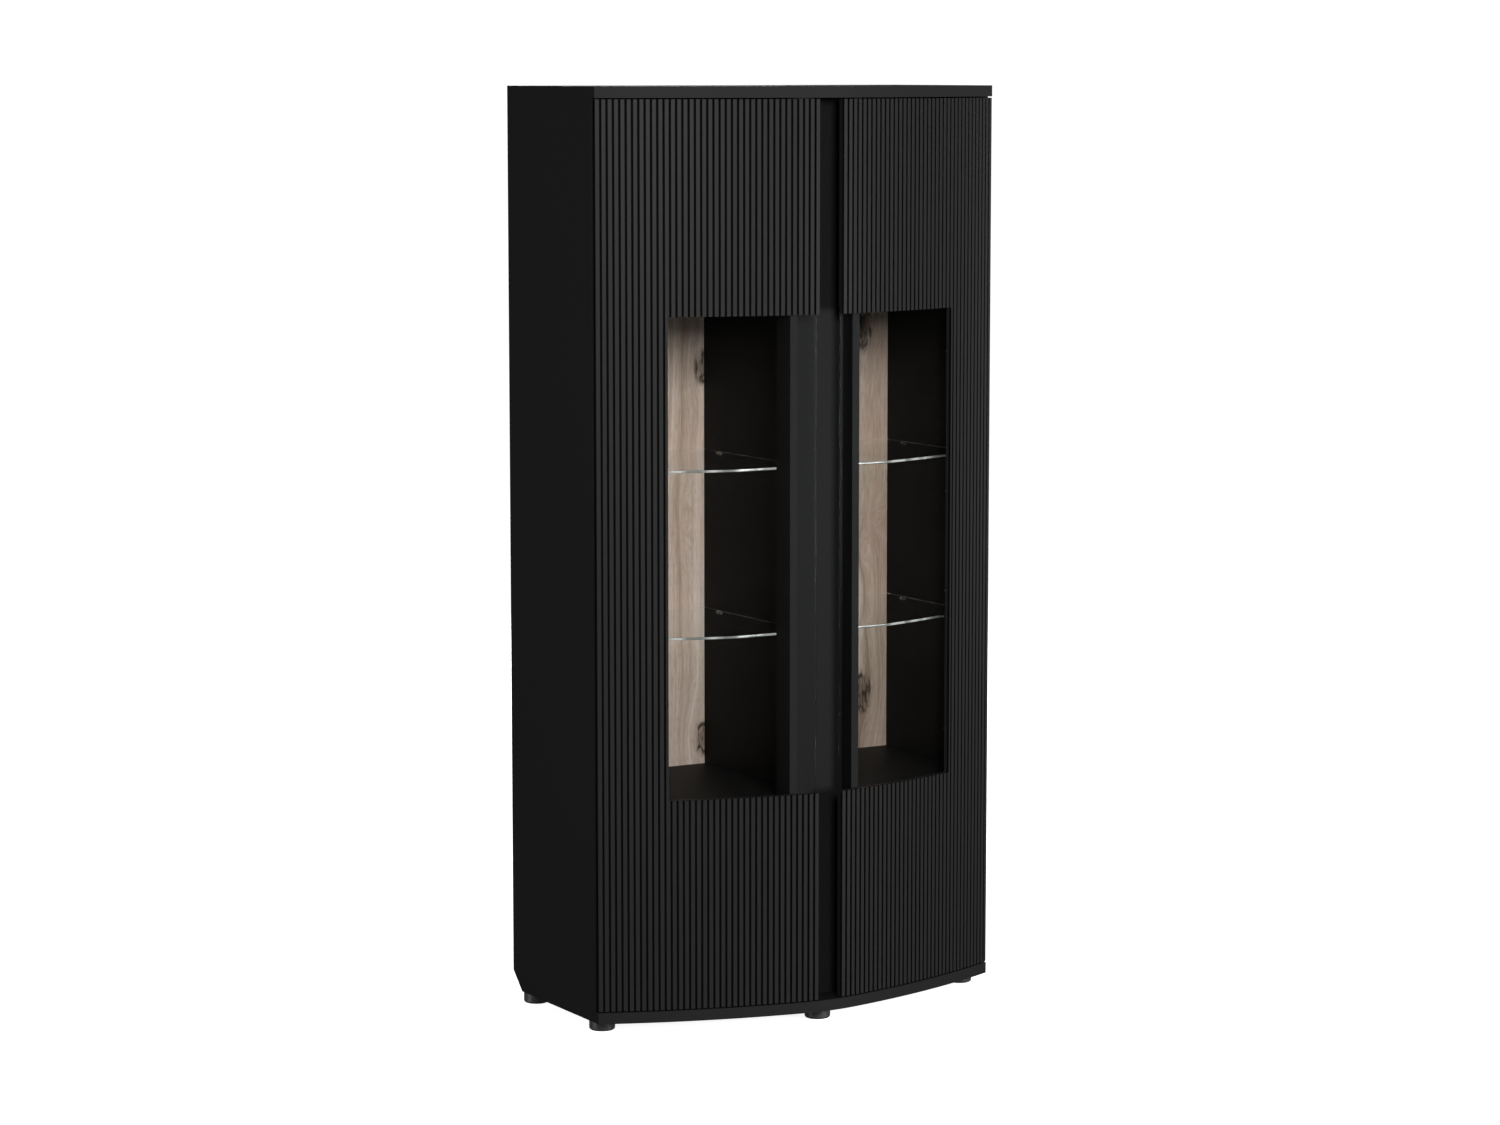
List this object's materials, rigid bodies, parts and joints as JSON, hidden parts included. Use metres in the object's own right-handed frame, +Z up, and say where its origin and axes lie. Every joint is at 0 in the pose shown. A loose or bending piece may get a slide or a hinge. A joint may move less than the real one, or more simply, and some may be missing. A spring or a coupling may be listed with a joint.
{
  "type": "curio cabinet",
  "caption": "Tall free-standing display cabinet with a bowed front, fluted doors with curved glass windows, glass shelves and a central grip channel.",
  "frame": {"origin": "middle of the footprint's bounding box, on the floor under the feet", "axes": "+Z up, +Y to the back of the cabinet, +X to the right seen from the front; the bowed front faces -Y"},
  "size_m": [0.9, 0.49, 1.831],
  "materials": {
    "black_laminate": "matte black laminate on chipboard",
    "fluted_black": "matte black foil on fluted fibreboard",
    "oak_decor": "grey-brown oak decor on hardboard",
    "window_glass": "clear curved glass",
    "shelf_glass": "clear toughened glass",
    "foot_plastic": "satin black plastic",
    "clear_plastic": "translucent plastic",
    "beech": "plain beech",
    "nickel": "nickel-plated steel",
    "zinc": "die-cast zinc",
    "steel": "bright zinc-plated steel"
  },
  "bodies": {
    "cabinet": {"back_panel_nails": "steel", "base_plate": "black_laminate", "cam_bolts": "steel", "cam_locks": "zinc", "centre_partition": "black_laminate", "channel_dowels": "beech", "foot_front_centre": "foot_plastic", "foot_front_left": "foot_plastic", "foot_front_right": "foot_plastic", "foot_rear_centre": "foot_plastic", "foot_rear_left": "foot_plastic", "foot_rear_right": "foot_plastic", "foot_screws": "steel", "grip_channel_board": "black_laminate", "left_back_panel": "oak_decor", "left_display_ceiling": "black_laminate", "left_display_floor": "black_laminate", "left_grip_cheek": "black_laminate", "left_hinge_arms": "nickel", "left_hinge_plates": "nickel", "left_hinge_screws": "steel", "left_lower_glass_shelf": "shelf_glass", "left_rear_rail": "black_laminate", "left_shelf_pins": "nickel", "left_side_panel": "black_laminate", "left_upper_glass_shelf": "shelf_glass", "right_back_panel": "oak_decor", "right_display_ceiling": "black_laminate", "right_display_floor": "black_laminate", "right_grip_cheek": "black_laminate", "right_hinge_arms": "nickel", "right_hinge_plates": "nickel", "right_hinge_screws": "steel", "right_lower_glass_shelf": "shelf_glass", "right_rear_rail": "black_laminate", "right_shelf_pins": "nickel", "right_side_panel": "black_laminate", "right_upper_glass_shelf": "shelf_glass", "top_plate": "black_laminate"},
    "left_door": {"left_door_bumpers": "clear_plastic", "left_door_cup_screws": "steel", "left_door_dowels": "beech", "left_door_glass": "window_glass", "left_door_glass_clips": "clear_plastic", "left_door_hinge_cups": "nickel", "left_door_hinge_pins": "steel", "left_door_lower_panel": "fluted_black", "left_door_outer_strip": "fluted_black", "left_door_upper_panel": "fluted_black"},
    "right_door": {"right_door_bumpers": "clear_plastic", "right_door_cup_screws": "steel", "right_door_dowels": "beech", "right_door_glass": "window_glass", "right_door_glass_clips": "clear_plastic", "right_door_hinge_cups": "nickel", "right_door_hinge_pins": "steel", "right_door_lower_panel": "fluted_black", "right_door_outer_strip": "fluted_black", "right_door_upper_panel": "fluted_black"}
  },
  "joints": [
    {"name": "left_door_hinge", "type": "hinge", "parent": "cabinet", "child": "left_door", "pos_m": [-0.43949, -0.11509, 0.9], "axis": [0, 0, -1], "range_deg": [0, 95]},
    {"name": "right_door_hinge", "type": "hinge", "parent": "cabinet", "child": "right_door", "pos_m": [0.43949, -0.11509, 0.9], "axis": [0, 0, 1], "range_deg": [0, 95]}
  ]
}
